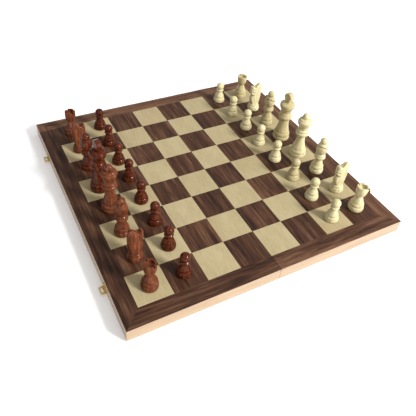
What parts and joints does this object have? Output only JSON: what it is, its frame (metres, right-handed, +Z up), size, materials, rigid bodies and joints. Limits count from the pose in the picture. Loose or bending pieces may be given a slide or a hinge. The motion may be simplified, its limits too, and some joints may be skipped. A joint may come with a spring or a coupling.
{
  "type": "folding chess set",
  "caption": "Wooden chess box opened flat into a veneered playing board, with turned king, queen, bishops, knights, rooks and pawns standing on it.",
  "frame": {"origin": "centre of the open board's footprint, on the plane of the table top that it lies on", "axes": "+X from the black side to the white side, across the fold; +Y from the a-file to the h-file, along the fold; +Z up"},
  "size_m": [0.3871, 0.378, 0.0983],
  "materials": {
    "dark_wood": "gloss lacquered, dark reddish brown",
    "pale_wood": "satin lacquered boxwood",
    "beech": "satin lacquered beech",
    "walnut": "satin lacquered walnut veneer",
    "maple": "satin lacquered maple veneer",
    "felt": "green felt",
    "brass": "polished brass"
  },
  "bodies": {
    "left_half": {"rail_left_front": "beech", "rail_left_back": "beech", "rail_left_outer": "beech", "rail_left_centre": "beech", "panel_left": "beech", "border_left": "walnut", "walnut_squares_left": "walnut", "maple_squares_left": "maple", "felt_lining_left": "felt", "hinge_leaves_left": "brass", "hinge_pins": "brass", "screws_left": "brass", "staples": "brass"},
    "right_half": {"rail_right_front": "beech", "rail_right_back": "beech", "rail_right_outer": "beech", "rail_right_centre": "beech", "panel_right": "beech", "border_right": "walnut", "walnut_squares_right": "walnut", "maple_squares_right": "maple", "felt_lining_right": "felt", "hinge_leaves_right": "brass", "screws_right": "brass", "hasp_plates": "brass", "hasp_pins": "brass"},
    "hasp_front": {"hasp_front": "brass"},
    "hasp_back": {"hasp_back": "brass"},
    "black_bishop_c8": {"black_bishop_c8": "dark_wood"},
    "black_bishop_f8": {"black_bishop_f8": "dark_wood"},
    "black_king_e8": {"black_king_e8": "dark_wood"},
    "black_knight_b8": {"black_knight_b8": "dark_wood"},
    "black_knight_g8": {"black_knight_g8": "dark_wood"},
    "black_pawn_a7": {"black_pawn_a7": "dark_wood"},
    "black_pawn_b7": {"black_pawn_b7": "dark_wood"},
    "black_pawn_c7": {"black_pawn_c7": "dark_wood"},
    "black_pawn_d7": {"black_pawn_d7": "dark_wood"},
    "black_pawn_e7": {"black_pawn_e7": "dark_wood"},
    "black_pawn_f7": {"black_pawn_f7": "dark_wood"},
    "black_pawn_g7": {"black_pawn_g7": "dark_wood"},
    "black_pawn_h7": {"black_pawn_h7": "dark_wood"},
    "black_queen_d8": {"black_queen_d8": "dark_wood"},
    "black_rook_a8": {"black_rook_a8": "dark_wood"},
    "black_rook_h8": {"black_rook_h8": "dark_wood"},
    "white_bishop_c1": {"white_bishop_c1": "pale_wood"},
    "white_bishop_f1": {"white_bishop_f1": "pale_wood"},
    "white_king_e1": {"white_king_e1": "pale_wood"},
    "white_knight_b1": {"white_knight_b1": "pale_wood"},
    "white_knight_g1": {"white_knight_g1": "pale_wood"},
    "white_pawn_a2": {"white_pawn_a2": "pale_wood"},
    "white_pawn_b2": {"white_pawn_b2": "pale_wood"},
    "white_pawn_c2": {"white_pawn_c2": "pale_wood"},
    "white_pawn_d2": {"white_pawn_d2": "pale_wood"},
    "white_pawn_e2": {"white_pawn_e2": "pale_wood"},
    "white_pawn_f2": {"white_pawn_f2": "pale_wood"},
    "white_pawn_g2": {"white_pawn_g2": "pale_wood"},
    "white_pawn_h2": {"white_pawn_h2": "pale_wood"},
    "white_queen_d1": {"white_queen_d1": "pale_wood"},
    "white_rook_a1": {"white_rook_a1": "pale_wood"},
    "white_rook_h1": {"white_rook_h1": "pale_wood"}
  },
  "joints": [
    {"name": "fold", "type": "hinge", "parent": "left_half", "child": "right_half", "pos_m": [0, 0, 0.0011], "axis": [0, 1, 0], "range_deg": [0, 180]},
    {"name": "hasp_front_swing", "type": "hinge", "parent": "right_half", "child": "hasp_front", "pos_m": [0.1906, -0.122, 0.0082], "axis": [0, 1, 0], "range_deg": [0, 180]},
    {"name": "hasp_back_swing", "type": "hinge", "parent": "right_half", "child": "hasp_back", "pos_m": [0.1906, 0.122, 0.0082], "axis": [0, 1, 0], "range_deg": [0, 180]},
    {"name": "lift_black_bishop_c8", "type": "slide", "parent": "left_half", "child": "black_bishop_c8", "axis": [0, 0, 1], "range_m": [0, 0.1]},
    {"name": "lift_black_bishop_f8", "type": "slide", "parent": "left_half", "child": "black_bishop_f8", "axis": [0, 0, 1], "range_m": [0, 0.1]},
    {"name": "lift_black_king_e8", "type": "slide", "parent": "left_half", "child": "black_king_e8", "axis": [0, 0, 1], "range_m": [0, 0.1]},
    {"name": "lift_black_knight_b8", "type": "slide", "parent": "left_half", "child": "black_knight_b8", "axis": [0, 0, 1], "range_m": [0, 0.1]},
    {"name": "lift_black_knight_g8", "type": "slide", "parent": "left_half", "child": "black_knight_g8", "axis": [0, 0, 1], "range_m": [0, 0.1]},
    {"name": "lift_black_pawn_a7", "type": "slide", "parent": "left_half", "child": "black_pawn_a7", "axis": [0, 0, 1], "range_m": [0, 0.1]},
    {"name": "lift_black_pawn_b7", "type": "slide", "parent": "left_half", "child": "black_pawn_b7", "axis": [0, 0, 1], "range_m": [0, 0.1]},
    {"name": "lift_black_pawn_c7", "type": "slide", "parent": "left_half", "child": "black_pawn_c7", "axis": [0, 0, 1], "range_m": [0, 0.1]},
    {"name": "lift_black_pawn_d7", "type": "slide", "parent": "left_half", "child": "black_pawn_d7", "axis": [0, 0, 1], "range_m": [0, 0.1]},
    {"name": "lift_black_pawn_e7", "type": "slide", "parent": "left_half", "child": "black_pawn_e7", "axis": [0, 0, 1], "range_m": [0, 0.1]},
    {"name": "lift_black_pawn_f7", "type": "slide", "parent": "left_half", "child": "black_pawn_f7", "axis": [0, 0, 1], "range_m": [0, 0.1]},
    {"name": "lift_black_pawn_g7", "type": "slide", "parent": "left_half", "child": "black_pawn_g7", "axis": [0, 0, 1], "range_m": [0, 0.1]},
    {"name": "lift_black_pawn_h7", "type": "slide", "parent": "left_half", "child": "black_pawn_h7", "axis": [0, 0, 1], "range_m": [0, 0.1]},
    {"name": "lift_black_queen_d8", "type": "slide", "parent": "left_half", "child": "black_queen_d8", "axis": [0, 0, 1], "range_m": [0, 0.1]},
    {"name": "lift_black_rook_a8", "type": "slide", "parent": "left_half", "child": "black_rook_a8", "axis": [0, 0, 1], "range_m": [0, 0.1]},
    {"name": "lift_black_rook_h8", "type": "slide", "parent": "left_half", "child": "black_rook_h8", "axis": [0, 0, 1], "range_m": [0, 0.1]},
    {"name": "lift_white_bishop_c1", "type": "slide", "parent": "right_half", "child": "white_bishop_c1", "axis": [0, 0, 1], "range_m": [0, 0.1]},
    {"name": "lift_white_bishop_f1", "type": "slide", "parent": "right_half", "child": "white_bishop_f1", "axis": [0, 0, 1], "range_m": [0, 0.1]},
    {"name": "lift_white_king_e1", "type": "slide", "parent": "right_half", "child": "white_king_e1", "axis": [0, 0, 1], "range_m": [0, 0.1]},
    {"name": "lift_white_knight_b1", "type": "slide", "parent": "right_half", "child": "white_knight_b1", "axis": [0, 0, 1], "range_m": [0, 0.1]},
    {"name": "lift_white_knight_g1", "type": "slide", "parent": "right_half", "child": "white_knight_g1", "axis": [0, 0, 1], "range_m": [0, 0.1]},
    {"name": "lift_white_pawn_a2", "type": "slide", "parent": "right_half", "child": "white_pawn_a2", "axis": [0, 0, 1], "range_m": [0, 0.1]},
    {"name": "lift_white_pawn_b2", "type": "slide", "parent": "right_half", "child": "white_pawn_b2", "axis": [0, 0, 1], "range_m": [0, 0.1]},
    {"name": "lift_white_pawn_c2", "type": "slide", "parent": "right_half", "child": "white_pawn_c2", "axis": [0, 0, 1], "range_m": [0, 0.1]},
    {"name": "lift_white_pawn_d2", "type": "slide", "parent": "right_half", "child": "white_pawn_d2", "axis": [0, 0, 1], "range_m": [0, 0.1]},
    {"name": "lift_white_pawn_e2", "type": "slide", "parent": "right_half", "child": "white_pawn_e2", "axis": [0, 0, 1], "range_m": [0, 0.1]},
    {"name": "lift_white_pawn_f2", "type": "slide", "parent": "right_half", "child": "white_pawn_f2", "axis": [0, 0, 1], "range_m": [0, 0.1]},
    {"name": "lift_white_pawn_g2", "type": "slide", "parent": "right_half", "child": "white_pawn_g2", "axis": [0, 0, 1], "range_m": [0, 0.1]},
    {"name": "lift_white_pawn_h2", "type": "slide", "parent": "right_half", "child": "white_pawn_h2", "axis": [0, 0, 1], "range_m": [0, 0.1]},
    {"name": "lift_white_queen_d1", "type": "slide", "parent": "right_half", "child": "white_queen_d1", "axis": [0, 0, 1], "range_m": [0, 0.1]},
    {"name": "lift_white_rook_a1", "type": "slide", "parent": "right_half", "child": "white_rook_a1", "axis": [0, 0, 1], "range_m": [0, 0.1]},
    {"name": "lift_white_rook_h1", "type": "slide", "parent": "right_half", "child": "white_rook_h1", "axis": [0, 0, 1], "range_m": [0, 0.1]}
  ]
}
